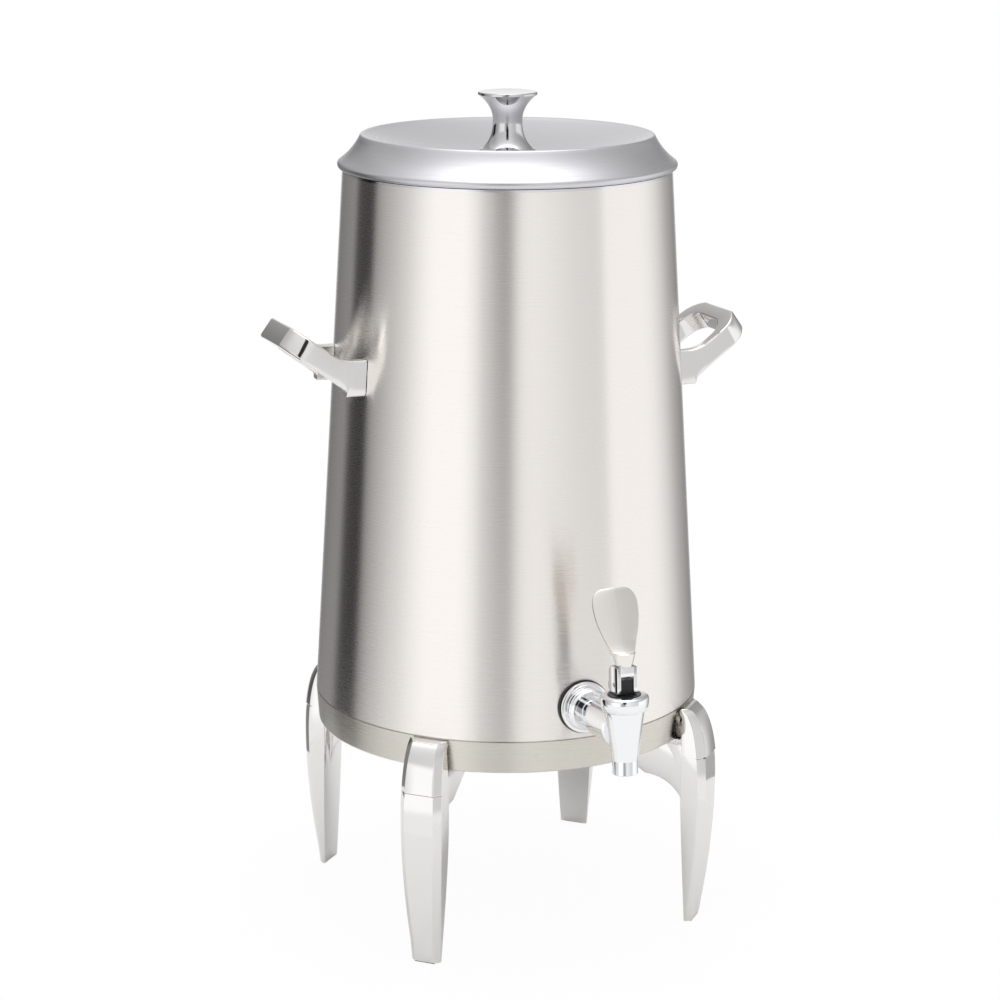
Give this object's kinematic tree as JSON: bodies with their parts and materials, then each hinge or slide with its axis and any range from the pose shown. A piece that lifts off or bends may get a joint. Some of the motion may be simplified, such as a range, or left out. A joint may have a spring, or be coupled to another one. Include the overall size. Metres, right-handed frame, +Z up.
{
  "type": "coffee urn",
  "caption": "Insulated coffee urn with a conical brushed steel body on polished cast legs, loop handles, a lift-off lid with a spool knob and a lever tap.",
  "frame": {"origin": "on the worktop, on the axis of the vessel, in the plane of the four foot pads", "axes": "+Z up, the tap faces -Y, the handles stand out along +X and -X, the legs lie on the diagonals"},
  "size_m": [0.333, 0.3356, 0.5558],
  "materials": {
    "brushed_stainless": "brushed around the axis",
    "polished_stainless": "satin polished",
    "inner_stainless": "drawn and passivated",
    "polished_cast_metal": "cast, polished and plated",
    "plated_brass": "turned, polished and plated",
    "fastener_steel": "turned",
    "spring_steel": "drawn wire",
    "black_plastic": "moulded",
    "black_silicone": "moulded",
    "foot_rubber": "moulded",
    "foam": "open-cell foam"
  },
  "bodies": {
    "urn": {"outer_jacket": "brushed_stainless", "mouth_ring": "polished_stainless", "inner_liner": "inner_stainless", "base_band": "brushed_stainless", "base_plate": "inner_stainless", "liner_cradle": "black_plastic", "base_insulation": "foam", "outlet_sleeve": "inner_stainless", "leg_front_right": "polished_cast_metal", "leg_front_left": "polished_cast_metal", "leg_back_right": "polished_cast_metal", "leg_back_left": "polished_cast_metal", "foot_pads": "foot_rubber", "leg_arm_screws": "fastener_steel", "leg_arm_washers": "fastener_steel", "leg_arm_nuts": "fastener_steel", "leg_hook_screws": "fastener_steel", "leg_hook_washers": "fastener_steel", "handle_right": "polished_cast_metal", "handle_left": "polished_cast_metal", "handle_screws": "fastener_steel", "handle_saddle_washers": "fastener_steel", "tap_outer_seal": "black_silicone", "tap_flange": "plated_brass", "tap_lock_nut": "plated_brass", "tap_body": "plated_brass", "tap_inner_seal": "black_silicone", "tap_shank_nut": "fastener_steel", "tap_bonnet": "plated_brass", "stem_guide": "black_plastic", "tap_spring": "spring_steel"},
    "lid": {"lid_shell": "polished_stainless", "lid_inner_pan": "inner_stainless", "lid_insulation": "foam", "lid_gasket": "black_silicone", "lid_knob": "polished_cast_metal", "knob_screw": "fastener_steel", "knob_washer": "fastener_steel"},
    "stem": {"valve_stem": "black_plastic", "seat_cup": "black_silicone"},
    "lever": {"lever_yoke": "plated_brass", "lever_pin": "fastener_steel", "lever_paddle": "plated_brass"}
  },
  "joints": [
    {"name": "lid_lift", "type": "slide", "parent": "urn", "child": "lid", "axis": [0, 0, 1], "range_m": [0, 0.2]},
    {"name": "stem_lift", "type": "slide", "parent": "urn", "child": "stem", "axis": [0, 0.0606, 0.9982], "range_m": [0, 0.0016], "deforming": ["tap_spring"]},
    {"name": "lever_turn", "type": "hinge", "parent": "stem", "child": "lever", "pos_m": [0, -0.18914, 0.20742], "axis": [1, 0, 0], "range_deg": [0, 36], "stiffness_Nm_per_rad": 0.3, "springref_deg": -28.65}
  ],
  "couplings": [
    {"joint": "stem_lift", "follows": "lever_turn", "m_per_rad": 0.0025}
  ]
}
